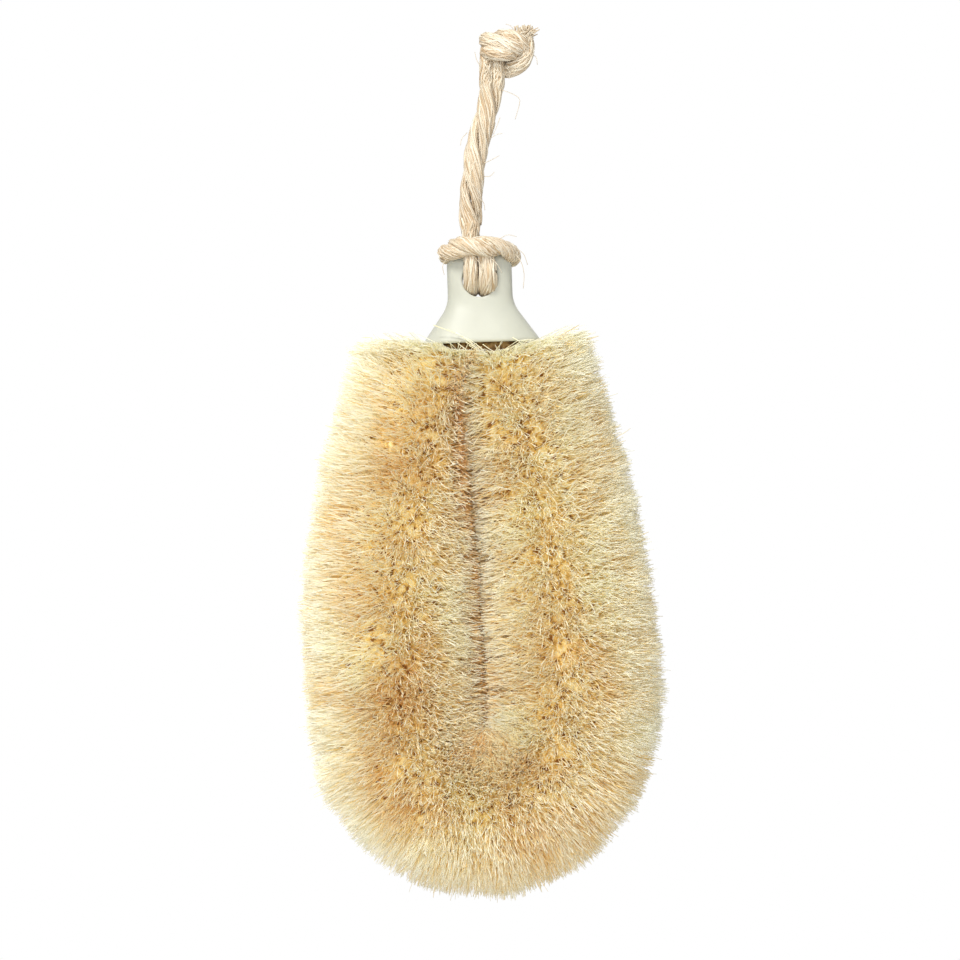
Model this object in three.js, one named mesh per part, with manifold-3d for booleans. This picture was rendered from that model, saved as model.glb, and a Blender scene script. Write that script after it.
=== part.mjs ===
// Body dry brush that hangs on a cord. A U of twisted steel wire holds cut palm fibre between its two strands, a moulded
// cap grips both ends of the wire, and a doubled cord is hitched round the neck of the cap and knotted at its end.
// Millimetres, +Z up, front towards -Y. The origin is the hanging point, between the cord's legs just under the knot.

import * as THREE from 'three';
import { mergeVertices } from 'three/addons/utils/BufferGeometryUtils.js';
import Module from 'manifold-3d';

const wasm = await Module();
wasm.setup();

const GAP = 0.3;

// End cap. Its base centre is the origin of the brush's own group, which hangs below the cord.
const CAP_X = -2.7;
const CAP_BASE_Z = -68.8;
const CAP_TILT = THREE.MathUtils.degToRad(2);
const CAP_HEIGHT = 24.4;
const BASE_HALF_WIDTH = 15.35;
const BASE_HALF_DEPTH = 9.2;
const LIP_HEIGHT = 0.8;
const FLARE_TOP_HALF_WIDTH = 10;
const FLARE_TOP_Z = 8.4;
const NECK_HALF_WIDTH = 8.6;
const NECK_HALF_DEPTH = 4.6;
const NECK_START_Z = 13;
const NECK_CORNER = 4;
const CAP_SIDES = 40;
const SQUARENESS = 3.2;
const MOUTH_HALF_WIDTH = 13.7;
const MOUTH_DEPTH = 8.6;
const MOUTH_TOP_HALF_WIDTH = 9;
const HOLE_X = 0;
const HOLE_Z = 16.7;
const HOLE_RADIUS = 4.55;

// Plug inside the mouth of the cap, with one bore for each end of the twisted wire
const PLUG_WIDTH = 16.4;
const PLUG_DEPTH = 8.4;
const PLUG_CORNER = 2.5;
const PLUG_BOTTOM_Z = 1.4;
const PLUG_HEIGHT = 6.2;
const PLUG_BORE_RADIUS = 2;

// Twisted wire core, as x and z in the brush's group, down the left leg, round the bend and up the right leg
const CORE_ROUTE = [
  [-3, 6.6], [-3.1, 1], [-5.4, -4.6], [-9, -11], [-14.3, -25.4], [-18, -42], [-20.2, -60], [-20.9, -78],
  [-19.8, -92], [-17.4, -106.5], [-10.3, -115.9], [0.5, -119.3], [11.3, -115.9], [18.4, -106.5],
  [20.9, -92], [21.3, -80], [19.4, -62], [16.2, -44], [12, -28], [7.2, -13.5], [5, -6], [3.1, 1], [3, 6.6],
];
const CORE_ROUTE_DIVISIONS = 600;
const WIRE_RADIUS = 0.7;
const WIRE_OFFSET = 0.86;
const WIRE_SIDES = 6;
const TWIST_PITCH = 18;
const STEPS_PER_TWIST = 8;

// Fibre pile
const PILE_RADIUS = 25.6;
const PILE_SIDES = 28;
const PILE_BORE_RADIUS = 2.3;
const PILE_BORE_SIDES = 8;
const PILE_TOP_Z = -1.2;
const BUNDLE_GAP = 0.6;
const BUNDLES_PER_LEG = 5;
const BUNDLES_IN_BEND = 4;
const PILE_START_Z = -3.4;
const BEND_START_Z = -95;
const LEG_INNER_REACH = 22;
const BEND_INNER_REACH = 14;
const BUNDLE_STEPS = 4;

// Line along which the two legs press on each other, as x and z in the brush's group
const SEAM = [[0, 0], [-5, -12], [-4.2, -28], [-2.6, -44], [-0.6, -60], [0.4, -76], [1.6, -92], [2.4, -130]];
const SEAM_REACH = 70;
const SEAM_DEPTH = 80;

// Hanging cord
const CORD_RADIUS = 1.35;
const CORD_SIDES = 8;
const CORD_SPACING = 3.04;
const CORD_ROUTE = [[0, 0], [-1.1, -5.8], [-4.1, -17.5], [-5.5, -29], [-5.8, -38.5]];
const CORD_TWIST = THREE.MathUtils.degToRad(450);
const CORD_STEPS = 16;

// Hitch round the neck and through the hole
const BAND_X = -1.1;
const BAND_Z = 24.9;
const BAND_HEIGHT = 6;
const BAND_THICKNESS = 2.7;
const BAND_CLEARANCE = 0.5;
const BAND_TILT = THREE.MathUtils.degToRad(8);
const BAND_SIDES = 32;
const THROAT_HALF_LENGTH = 6.6;
const THROAT_SIDES = 20;

// Knot and frayed tails: the centre and half sizes of each lobe, then each tail from its root to its tip
const KNOT_LOBES = [
  { centre: [2.3, 0, 9.8], half: [5.6, 4.4, 4.3] },
  { centre: [6.6, 0, 5.9], half: [3.2, 3.8, 4] },
  { centre: [0.3, 0, 5.4], half: [3.1, 2.6, 3.7] },
];
const LOBE_SIDES = 16;
const LOBE_RINGS = 10;
const TAIL_ROOT = [9.4, 10.5];
const TAIL_TIP = [9.9, 14.8];
const TAIL_Y = 1.6;

const FIBRE = { color: 0xe3c890, roughness: 0.85, metalness: 0 };
const CORD = { color: 0xeee2c4, roughness: 0.9, metalness: 0 };
const CAP_PLASTIC = { color: 0xf3f2e2, roughness: 0.4, metalness: 0 };
const PLUG_PLASTIC = { color: 0xd9d6c6, roughness: 0.6, metalness: 0 };
const STEEL = { color: 0xb4b6b8, roughness: 0.35, metalness: 1 };

function piece(name, geometry, finish) {
  const mesh = new THREE.Mesh(geometry, new THREE.MeshStandardMaterial(finish));
  mesh.name = name;
  return mesh;
}

// A closed geometry as a solid that can be joined and cut
function solidOf(geometry) {
  const bare = new THREE.BufferGeometry();
  bare.setAttribute('position', geometry.getAttribute('position'));
  bare.setIndex(geometry.getIndex());
  const merged = mergeVertices(bare, 1e-4);
  const vertProperties = Float32Array.from(merged.getAttribute('position').array);
  const triVerts = Uint32Array.from(merged.getIndex().array);
  return new wasm.Manifold(new wasm.Mesh({ numProp: 3, vertProperties, triVerts }));
}

function geometryOf(solid) {
  const mesh = solid.getMesh();
  const geometry = new THREE.BufferGeometry();
  geometry.setAttribute('position', new THREE.BufferAttribute(mesh.vertProperties, 3));
  geometry.setIndex(new THREE.BufferAttribute(mesh.triVerts, 1));
  geometry.computeVertexNormals();
  return geometry;
}

// A round polygon, clockwise or not, for a section or a hole
function circle(radius, sides, into = new THREE.Shape()) {
  for (let i = 0; i < sides; i += 1) {
    const angle = (2 * Math.PI * (i + 0.5)) / sides;
    into[i ? 'lineTo' : 'moveTo'](radius * Math.cos(angle), radius * Math.sin(angle));
  }
  into.closePath();
  return into;
}

function tube(curve, radius, sides, steps) {
  return new THREE.ExtrudeGeometry(circle(radius, sides), { steps, extrudePath: curve });
}

// Half depth of the cap's oval where its half width is r. Beyond the neck the depth grows by slope for each unit of width.
function halfDepth(r, slope) {
  if (r < NECK_HALF_WIDTH) return (NECK_HALF_DEPTH * r) / NECK_HALF_WIDTH;
  return NECK_HALF_DEPTH + (r - NECK_HALF_WIDTH) * slope;
}

// Turns a lathe's round rings into squarish ovals
function ovalise(geometry, slope) {
  const position = geometry.getAttribute('position');
  for (let i = 0; i < position.count; i += 1) {
    const x = position.getX(i);
    const y = position.getY(i);
    const r = Math.hypot(x, y);
    if (r < 1e-6) continue;
    const across = Math.sign(x) * Math.abs(x / r) ** (2 / SQUARENESS);
    const through = Math.sign(y) * Math.abs(y / r) ** (2 / SQUARENESS);
    position.setXY(i, r * across, halfDepth(r, slope) * through);
  }
  return geometry;
}

// Outer profile from the rim of the mouth up to the top, then back down inside the mouth
function capProfile() {
  const path = new THREE.Path();
  path.moveTo(0, MOUTH_DEPTH);
  path.lineTo(MOUTH_TOP_HALF_WIDTH - 1.5, MOUTH_DEPTH);
  path.lineTo(MOUTH_TOP_HALF_WIDTH, MOUTH_DEPTH - 1);
  path.lineTo(MOUTH_HALF_WIDTH, 0);
  path.lineTo(BASE_HALF_WIDTH - 0.2, 0);
  path.lineTo(BASE_HALF_WIDTH, LIP_HEIGHT);
  path.lineTo(FLARE_TOP_HALF_WIDTH, FLARE_TOP_Z);
  path.quadraticCurveTo(NECK_HALF_WIDTH, (FLARE_TOP_Z + NECK_START_Z) / 2, NECK_HALF_WIDTH, NECK_START_Z);
  path.lineTo(NECK_HALF_WIDTH, CAP_HEIGHT - NECK_CORNER);
  path.quadraticCurveTo(NECK_HALF_WIDTH, CAP_HEIGHT, NECK_HALF_WIDTH - NECK_CORNER, CAP_HEIGHT);
  path.lineTo(0, CAP_HEIGHT);
  return path.getPoints(5);
}

function endCap() {
  const slope = (BASE_HALF_DEPTH - NECK_HALF_DEPTH) / (BASE_HALF_WIDTH - NECK_HALF_WIDTH);
  const shell = new THREE.LatheGeometry(capProfile(), CAP_SIDES).rotateX(Math.PI / 2);
  const hole = new THREE.CylinderGeometry(HOLE_RADIUS, HOLE_RADIUS, 4 * NECK_HALF_DEPTH, CAP_SIDES);
  hole.translate(HOLE_X, 0, HOLE_Z);
  const solid = solidOf(ovalise(shell, slope)).subtract(solidOf(hole));
  return piece('end_cap', geometryOf(solid), CAP_PLASTIC);
}

function roundedRectangle(width, depth, corner) {
  const x = width / 2;
  const y = depth / 2;
  const shape = new THREE.Shape();
  shape.moveTo(corner - x, -y);
  shape.lineTo(x - corner, -y);
  shape.absarc(x - corner, corner - y, corner, -Math.PI / 2, 0, false);
  shape.absarc(x - corner, y - corner, corner, 0, Math.PI / 2, false);
  shape.absarc(corner - x, y - corner, corner, Math.PI / 2, Math.PI, false);
  shape.absarc(corner - x, corner - y, corner, Math.PI, 1.5 * Math.PI, false);
  return shape;
}

function capPlug() {
  const shape = roundedRectangle(PLUG_WIDTH, PLUG_DEPTH, PLUG_CORNER);
  const boreX = Math.abs(CORE_ROUTE[0][0]);
  for (const x of [-boreX, boreX]) {
    const bore = new THREE.Path();
    bore.absarc(x, 0, PLUG_BORE_RADIUS, 0, 2 * Math.PI, true);
    shape.holes.push(bore);
  }
  const geometry = new THREE.ExtrudeGeometry(shape, {
    depth: PLUG_HEIGHT,
    bevelEnabled: false,
    curveSegments: 6,
  });
  const plug = piece('cap_plug', geometry, PLUG_PLASTIC);
  plug.position.z = PLUG_BOTTOM_Z;
  return plug;
}

const coreCurve = new THREE.CatmullRomCurve3(CORE_ROUTE.map(([x, z]) => new THREE.Vector3(x, 0, z)));
coreCurve.arcLengthDivisions = CORE_ROUTE_DIVISIONS;

// Part of the core's centre line, between two shares of its length
class CoreStretch extends THREE.Curve {
  constructor(from, to) {
    super();
    this.from = from;
    this.to = to;
  }

  getPoint(t, target = new THREE.Vector3()) {
    return coreCurve.getPointAt(THREE.MathUtils.lerp(this.from, this.to, t), target);
  }
}

// One wire of the pair, which winds round the core's centre line
class TwistedWire extends THREE.Curve {
  constructor(phase) {
    super();
    this.phase = phase;
    this.turns = coreCurve.getLength() / TWIST_PITCH;
  }

  getPoint(t, target = new THREE.Vector3()) {
    const along = coreCurve.getTangentAt(t);
    const angle = this.phase + 2 * Math.PI * this.turns * t;
    coreCurve.getPointAt(t, target);
    target.x += WIRE_OFFSET * Math.cos(angle) * along.z;
    target.z -= WIRE_OFFSET * Math.cos(angle) * along.x;
    target.y += WIRE_OFFSET * Math.sin(angle);
    return target;
  }
}

function coreWires() {
  const steps = Math.round((coreCurve.getLength() / TWIST_PITCH) * STEPS_PER_TWIST);
  return ['core_wire_a', 'core_wire_b'].map((name, i) =>
    piece(name, tube(new TwistedWire(i * Math.PI), WIRE_RADIUS, WIRE_SIDES, steps), STEEL));
}

// Share of the core's length at which it first or last crosses the height z
function shareAtHeight(z, last) {
  for (let i = 1; i < CORE_ROUTE_DIVISIONS; i += 1) {
    const share = last ? 1 - i / CORE_ROUTE_DIVISIONS : i / CORE_ROUTE_DIVISIONS;
    if (coreCurve.getPointAt(share).z < z) return share;
  }
  return 0.5;
}

// Section of the pile: a circle cut flat on the side that faces the other leg, with a bore for the wires
function pileSection(innerReach) {
  const half = Math.acos(-innerReach / PILE_RADIUS);
  const shape = new THREE.Shape();
  for (let i = 0; i <= PILE_SIDES; i += 1) {
    const angle = Math.PI / 2 - half + (2 * half * i) / PILE_SIDES;
    shape[i ? 'lineTo' : 'moveTo'](PILE_RADIUS * Math.cos(angle), PILE_RADIUS * Math.sin(angle));
  }
  shape.closePath();
  shape.holes.push(circle(PILE_BORE_RADIUS, PILE_BORE_SIDES, new THREE.Path()));
  return shape;
}

// Everything on one side of the seam and below the cap. side is -1 for the left leg and 1 for the right leg.
function sideOfSeam(side) {
  const shape = new THREE.Shape();
  const bottom = SEAM[SEAM.length - 1][1];
  shape.moveTo(side * SEAM_REACH, PILE_TOP_Z);
  shape.lineTo(side * GAP / 2, PILE_TOP_Z);
  for (const [x, z] of SEAM.slice(1)) shape.lineTo(x + side * GAP / 2, z);
  shape.lineTo(side * SEAM_REACH, bottom);
  shape.closePath();
  const slab = new THREE.ExtrudeGeometry(shape, { depth: SEAM_DEPTH, bevelEnabled: false });
  slab.translate(0, 0, -SEAM_DEPTH / 2);
  return solidOf(slab.rotateX(Math.PI / 2));
}

function bundleSolid(from, to, innerReach) {
  const options = { steps: BUNDLE_STEPS, extrudePath: new CoreStretch(from, to) };
  return solidOf(new THREE.ExtrudeGeometry(pileSection(innerReach), options));
}

function bristleBundles() {
  const leftTop = shareAtHeight(PILE_START_Z, false);
  const leftEnd = shareAtHeight(BEND_START_Z, false);
  const rightStart = shareAtHeight(BEND_START_Z, true);
  const rightTop = shareAtHeight(PILE_START_Z, true);
  const gap = BUNDLE_GAP / coreCurve.getLength();
  const stretches = [
    { from: leftTop, to: leftEnd, count: BUNDLES_PER_LEG, reach: LEG_INNER_REACH, side: -1 },
    { from: leftEnd, to: rightStart, count: BUNDLES_IN_BEND, reach: BEND_INNER_REACH, side: 0 },
    { from: rightStart, to: rightTop, count: BUNDLES_PER_LEG, reach: LEG_INNER_REACH, side: 1 },
  ];
  const bundles = [];
  for (const { from, to, count, reach, side } of stretches) {
    const share = (to - from) / count;
    for (let i = 0; i < count; i += 1) {
      const start = from + i * share + gap / 2;
      let solid = bundleSolid(start, start + share - gap, reach);
      if (side) solid = solid.intersect(sideOfSeam(side));
      const number = String(bundles.length + 1).padStart(2, '0');
      bundles.push(piece(`bristle_bundle_${number}`, geometryOf(solid), FIBRE));
    }
  }
  return bundles;
}

const cordCurve = new THREE.CatmullRomCurve3(CORD_ROUTE.map(([x, z]) => new THREE.Vector3(x, 0, z)));

// One leg of the hanging cord. The legs lie side by side at the knot, and one behind the other at the hitch.
class CordLeg extends THREE.Curve {
  constructor(phase) {
    super();
    this.phase = phase;
  }

  getPoint(t, target = new THREE.Vector3()) {
    const angle = this.phase - CORD_TWIST * (1 - t);
    cordCurve.getPointAt(t, target);
    target.x += (CORD_SPACING / 2) * Math.cos(angle);
    target.y += (CORD_SPACING / 2) * Math.sin(angle);
    return target;
  }
}

function cordLegs() {
  return [['cord_leg_a', -Math.PI / 2], ['cord_leg_b', Math.PI / 2]].map(([name, phase]) =>
    piece(name, tube(new CordLeg(phase), CORD_RADIUS, CORD_SIDES, CORD_STEPS), CORD));
}

// Band of cord round the top of the neck
function hitchBand() {
  const inner = NECK_HALF_WIDTH + BAND_CLEARANCE;
  const outer = inner + BAND_THICKNESS;
  const round = BAND_THICKNESS / 3;
  const profile = [
    [inner, round - BAND_HEIGHT / 2],
    [inner + round, -BAND_HEIGHT / 2],
    [outer - round, -BAND_HEIGHT / 2],
    [outer, round - BAND_HEIGHT / 2],
    [outer, BAND_HEIGHT / 2 - round],
    [outer - round, BAND_HEIGHT / 2],
    [inner + round, BAND_HEIGHT / 2],
    [inner, BAND_HEIGHT / 2 - round],
    [inner, round - BAND_HEIGHT / 2],
  ];
  const points = profile.map(([r, z]) => new THREE.Vector2(r, z));
  const ring = new THREE.LatheGeometry(points, BAND_SIDES).rotateX(Math.PI / 2);
  const band = piece('cord_hitch_band', ovalise(ring, 1), CORD);
  band.position.set(BAND_X, 0, BAND_Z);
  band.rotation.y = -BAND_TILT;
  return band;
}

// The cord where it goes through the hole of the neck and bulges out on both faces
function hitchThroat() {
  const radius = HOLE_RADIUS - GAP;
  const geometry = new THREE.CylinderGeometry(radius, radius, 2 * THROAT_HALF_LENGTH, THROAT_SIDES);
  const throat = piece('cord_hitch_throat', geometry, CORD);
  throat.position.set(HOLE_X, 0, HOLE_Z);
  return throat;
}

function endKnot() {
  const lobes = KNOT_LOBES.map(({ centre, half }) => {
    const lobe = new THREE.SphereGeometry(1, LOBE_SIDES, LOBE_RINGS);
    return solidOf(lobe.scale(...half).translate(...centre));
  });
  const solid = lobes.reduce((whole, lobe) => whole.add(lobe));
  return piece('cord_end_knot', geometryOf(solid), CORD);
}

function cordTails() {
  return [['cord_tail_front', -TAIL_Y], ['cord_tail_back', TAIL_Y]].map(([name, y]) => {
    const root = new THREE.Vector3(TAIL_ROOT[0], y, TAIL_ROOT[1]);
    const tip = new THREE.Vector3(TAIL_TIP[0], y, TAIL_TIP[1]);
    return piece(name, tube(new THREE.LineCurve3(root, tip), CORD_RADIUS, CORD_SIDES, 2), CORD);
  });
}

function tiltedCap() {
  const group = new THREE.Group();
  group.add(endCap(), capPlug(), hitchBand(), hitchThroat());
  group.rotation.y = -CAP_TILT;
  return group;
}

function brush() {
  const group = new THREE.Group();
  group.add(tiltedCap(), ...coreWires(), ...bristleBundles());
  group.position.set(CAP_X, 0, CAP_BASE_Z);
  return group;
}

const group = new THREE.Group();
group.add(brush(), ...cordLegs(), endKnot(), ...cordTails());

export default group;
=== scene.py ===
"""Body dry brush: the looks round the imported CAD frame.

Two twisted steel wires are bent into a U and grip cut palm fibre. A moulded cap holds both ends of the
wires, and a doubled cord is hitched round the neck of the cap and knotted at its end. Lengths are in
millimetres until a mesh is made, and then in metres. The front faces -Y and the origin is the hanging point
under the knot.
"""

import math

import bpy
import numpy as np
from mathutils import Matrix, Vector


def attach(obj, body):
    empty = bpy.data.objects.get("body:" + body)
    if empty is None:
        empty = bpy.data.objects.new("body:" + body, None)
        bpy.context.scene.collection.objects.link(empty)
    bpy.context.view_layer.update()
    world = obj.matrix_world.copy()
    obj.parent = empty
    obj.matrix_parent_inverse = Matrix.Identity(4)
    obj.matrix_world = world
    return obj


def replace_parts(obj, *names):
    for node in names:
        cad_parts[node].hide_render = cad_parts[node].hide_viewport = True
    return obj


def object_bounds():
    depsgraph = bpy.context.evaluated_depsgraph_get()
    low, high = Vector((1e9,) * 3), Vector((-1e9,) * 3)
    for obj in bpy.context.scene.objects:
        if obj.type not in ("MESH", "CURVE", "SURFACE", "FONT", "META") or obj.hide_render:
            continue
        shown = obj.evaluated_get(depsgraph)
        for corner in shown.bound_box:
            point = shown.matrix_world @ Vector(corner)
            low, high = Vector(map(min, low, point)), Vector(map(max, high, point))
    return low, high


MM = 0.001
BAKE_UV = "OFBake"

# The brush's own origin, the tilt of the cap, and the core of twisted wire as x and z from that origin
CAP_X = -2.7
CAP_BASE_Z = -68.8
CAP_TILT = math.radians(2)
CORE_ROUTE = [
    (-3, 6.6), (-3.1, 1), (-5.4, -4.6), (-9, -11), (-14.3, -25.4), (-18, -42), (-20.2, -60), (-20.9, -78),
    (-19.8, -92), (-17.4, -106.5), (-10.3, -115.9), (0.5, -119.3), (11.3, -115.9), (18.4, -106.5),
    (20.9, -92), (21.3, -80), (19.4, -62), (16.2, -44), (12, -28), (7.2, -13.5), (5, -6), (3.1, 1), (3, 6.6),
]
WIRE_OFFSET = 0.86
WIRE_RADIUS = 0.7
TWIST_PITCH = 18

# Cap profile
CAP_HEIGHT = 24.4
BASE_HALF_WIDTH = 15.35
BASE_HALF_DEPTH = 9.2
LIP_HEIGHT = 0.8
FLARE_TOP_HALF_WIDTH = 10
FLARE_TOP_Z = 8.4
NECK_HALF_WIDTH = 8.6
NECK_HALF_DEPTH = 4.6
NECK_START_Z = 13
NECK_CORNER = 4
SQUARENESS = 3.2
MOUTH_HALF_WIDTH = 13.7
MOUTH_DEPTH = 8.6
MOUTH_TOP_HALF_WIDTH = 9
HOLE_X = 0
HOLE_Z = 16.7
HOLE_RADIUS = 4.55

# Fibre pile. Places and heights are from the brush's origin, and a reach is how far fibres are cut from the
# core, by height.
PILE_RADIUS = 25.6
LEFT_REACH = [(-130, 26.1), (-90, 25.4), (-60, 25.8), (-45, 25), (-25, 24.4), (0, 26.4)]
RIGHT_REACH = [(-130, 26), (-90, 25), (-60, 24), (-45, 23.3), (-25, 23.2), (0, 25.4)]
PILE_START_Z = -3.4
BEND_START_Z = -95
BEND_BOTTOM_ROOT_Z = -108
TOP_EDGE = [
    (-40, -0.4), (-13, -0.6), (-8, -3), (3, -3.6), (9, -2.2), (15, -0.4), (18, 0.8), (29, 2.6), (40, 2.6),
]
TOP_EDGE_BEHIND = [(-40, -0.4), (-15, -0.9), (0, -0.5), (15, 0.1), (18, 0.8), (29, 2.6), (40, 2.6)]
BUNDLES_PER_LEG = 5
BUNDLES_IN_BEND = 4

# The seam, where the two legs of the pile meet, as x and z, and how far fibres stay clear of it, by height
SEAM = [(0, 0), (-5, -12), (-4.2, -28), (-2.6, -44), (-0.6, -60), (0.4, -76), (1.6, -92), (2.4, -130)]
SEAM_TOP_Z = -13
SEAM_BOTTOM_Z = -101
SEAM_TURN = 0.75
LEFT_CLEAR = 0.8
RIGHT_CLEAR = [(-16, 0.5), (-12, -5), (0, -7)]

# Single fibres
FIBRES_PER_MM = 420
BEND_DENSITY = 1.25
FIBRE_RADII = (0.085, 0.13)
FIBRE_TAPER = (0.85, 1, 1, 0.95, 0.6)
FIBRE_STEPS = (0, 0.4, 0.75, 0.93, 1)
FIBRE_JITTER = 0.085
FIBRE_BOW = 0.8
CORE_CLEAR = 1.1
CUT_UNEVEN = 0.25
SHORT_SHARE = 0.22
SHORT_RANGE = (0.72, 0.98)
LONG_SHARE = 0.012
LONG_RANGE = (0.5, 2.6)
STRAY_SHARE = 0.08
STRAY_RISE = 2.4
TIP_WANDER = 1.35
MET_WANDER = 0.9
BEND_WANDER = 2
FAN_LEAN = 0.45
FAN_LENGTH = 5

# The tufts and larger clumps that fibres gather in, and the ridge that follows the twist of the core
TUFTS_PER_MM = 18
TUFT_LEAN = 0.06
TUFT_TURN = 0.05
TUFT_UNEVEN = 0.55
CLUMPS_PER_MM = 0.9
CLUMP_UNEVEN = 0.3
GATHER = 0.62
TWIST_GATHER = 0.15
RIDGE_HEIGHT = 0.45
SPOT_SHARE = 0.01
SPOT_DEPTH = 1.2

# Tones of the fibres, from 0, deep, to 1, pale. They grow paler towards the cap, a painted highlight.
BASE_TONE = 0.84
# Painted shade: the under, over and bend tones deepen fibres that meet the seam's crease and those in the
# hollow inside the bend.
SEAM_UNDER_SHADE_TONE = 0.42
SEAM_OVER_SHADE_TONE = 0.75
BEND_HOLLOW_SHADE_TONE = 0.92
# Painted shade: the spot tone darkens a few tufts that are also sunk into the pile.
SPOT_SHADE_TONE = -0.6
# Painted light and shade: the ridge tone pales the ridges along the twist and deepens the troughs between
# them.
RIDGE_LIGHT_SHADE_TONE = 0.1
TUFT_TONE_SPREAD = 0.12
CLUMP_TONE_SPREAD = 0.1
DARK_SHARE = 0.12
LEFT_PALE_LENGTH = 11
RIGHT_PALE_LENGTH = 15

# The inside of the pile, and the roots under the cap, each built as one body
INNER_DEPTH = 6
INNER_RINGS = 170
INNER_SIDES = 72
INNER_ROUGHNESS = 0.45
ROOTS_X = 1
ROOTS_HALF_WIDTH = 12
ROOTS_HALF_DEPTH = 4.6
ROOTS_SIDES = 48

# Hanging cord, with its route as x and z under the hanging point
CORD_ROUTE = [(0, 0), (-1.1, -5.8), (-4.1, -17.5), (-5.5, -29), (-5.8, -38.5)]
CORD_SPACING = 3.04
CORD_TWIST = math.radians(450)
LEG_STEPS = 36
LEG_HALF_WIDTH = 2.45
LEG_HALF_THICKNESS = [1.7, 1.4, 1.3, 1.3]
END_STEPS = 6

# A strand of the cord: its body, and the single fibres, or hairs, that lie round it
BODY_SHARE = 0.88
BODY_SIDES = 20
# The body's deep tone is painted shade, seen in the gaps between the hairs.
BODY_SHADE_TONE = 0.15
HAIRS = 48
HAIR_SIDES = 4
HAIR_STEPS = 26
HAIR_RADII = (0.13, 0.27)
HAIR_WANDER = 0.22
HAIR_TONE = (0.62, 0.22)
LOOSE_HAIR_RADIUS = 0.1
LOOSE_HAIR_STEPS = 12
STRAY_BRISTLE_RADIUS = 0.11

# The knot's turns, side loop and fray, as x, y and z over the hanging point
KNOT_TURNS = [
    [(2.5, 3.4, 11), (-0.8, 2.6, 11.6), (-1.9, 0, 11.6), (-1, -2.6, 11.3), (1.4, -3.9, 10.3), (4.2, -4, 9.2),
     (6.6, -2.6, 8.8), (7.2, 0, 9.2), (5.5, 2.4, 10)],
    [(2.5, 3.8, 8), (-0.6, 2.8, 8), (-1.6, 0, 8.3), (-0.6, -3, 8), (2, -4.2, 7.5), (4.6, -3.4, 7.7),
     (6.4, -1.4, 8.6), (6.6, 1.4, 9), (4.8, 3.4, 8.6)],
    [(0.8, 2.6, 11.4), (1.6, 0.4, 12.3), (3.2, -1.9, 12.3), (5.6, -2.9, 11.8), (7.8, -2.4, 10.4),
     (8.6, -1, 8.6), (7.6, 0.8, 7.4)],
    [(7.4, 1.6, 9.4), (6.2, 2, 7.8), (4.4, 2.3, 6.4), (2.4, 2.6, 6), (0.4, 2.8, 7)],
]
KNOT_TURN_HALF_WIDTHS = [1.7, 1.95, 1.95, 1.8]
KNOT_TURN_HALF_THICKNESS = 1.6
KNOT_LOOP = [
    (6.6, -0.4, 12.9), (8.6, -0.9, 12.2), (9.2, -1, 9.6), (8.7, -1.1, 7), (7.4, -1.1, 5), (5.6, -0.6, 4.1),
    (3.8, 1.2, 4), (1.8, 2.8, 5), (-0.4, 3, 7.4),
]
KNOT_LOOP_HALF_WIDTHS = [1.6, 1.8, 1.8, 1.6]
KNOT_LOOP_HALF_THICKNESS = [1.8, 2.05, 2.05, 1.8]
STEM_HALF_THICKNESS = [1.7, 1.75]
FRAY_HAIRS = 190
FRAY_RADII = (0.11, 0.2)
FRAY_ROOT = (7.6, -0.6, 11.2)
FRAY_TIP = (9.1, -0.9, 14)
FRAY_SPREAD = (1.25, 1.3, 0.7)
FRAY_TOP = 14.9

# The hitch, as x, y and z under the hanging point
HITCH_TURN = [
    (-8, 5.2, -44.6), (-11.4, 3, -45), (-12.2, 0, -45.2), (-11.2, -4, -44.6), (-8.2, -6.6, -43.8),
    (-4, -7.6, -43.6), (0, -7, -43.7), (3, -5, -44), (4.8, -2.2, -45), (5.2, 1, -46), (3.6, 4.6, -45.6),
    (-1, 6.4, -44.8), (-6, 6, -44.6),
]
HITCH_TURN_HALF_WIDTHS = [2.1, 2.3, 2.7, 2.75, 2.5, 2.4, 2.3, 2.2, 2.1]
HITCH_TURN_HALF_THICKNESS = 2.3
HITCH_STRANDS = [
    ([(-5.8, -1.52, -38.5), (-5.9, -3, -41.5), (-5.8, -5.2, -44.5), (-5.6, -6, -47.6), (-5.6, -5.8, -51.4),
      (-5.5, -3, -54.4), (-5.4, 2, -54.5), (-5.2, 5.4, -52), (-5, 6.2, -47.5), (-4.8, 5.6, -44.6)],
     [2.45, 1.9, 1.7, 1.95, 2, 1.9, 1.8]),
    ([(-5.8, 1.52, -38.5), (-5.1, 0.6, -41), (-3.6, -2.8, -43.2), (-2, -5.6, -45.8), (-1.3, -6.2, -48.6),
      (-1.2, -5.8, -52), (-1.3, -2.6, -54.8), (-1.4, 2, -54.7), (-2, 5.4, -52), (-2.6, 6.2, -47.5),
      (-3, 5.6, -44.6)],
     [2.45, 2, 2.1, 2.4, 2.45, 2.2, 1.8]),
]
HITCH_STRAND_HALF_THICKNESS = [2.3, 1.7, 1.6, 1.6, 1.6]

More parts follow.
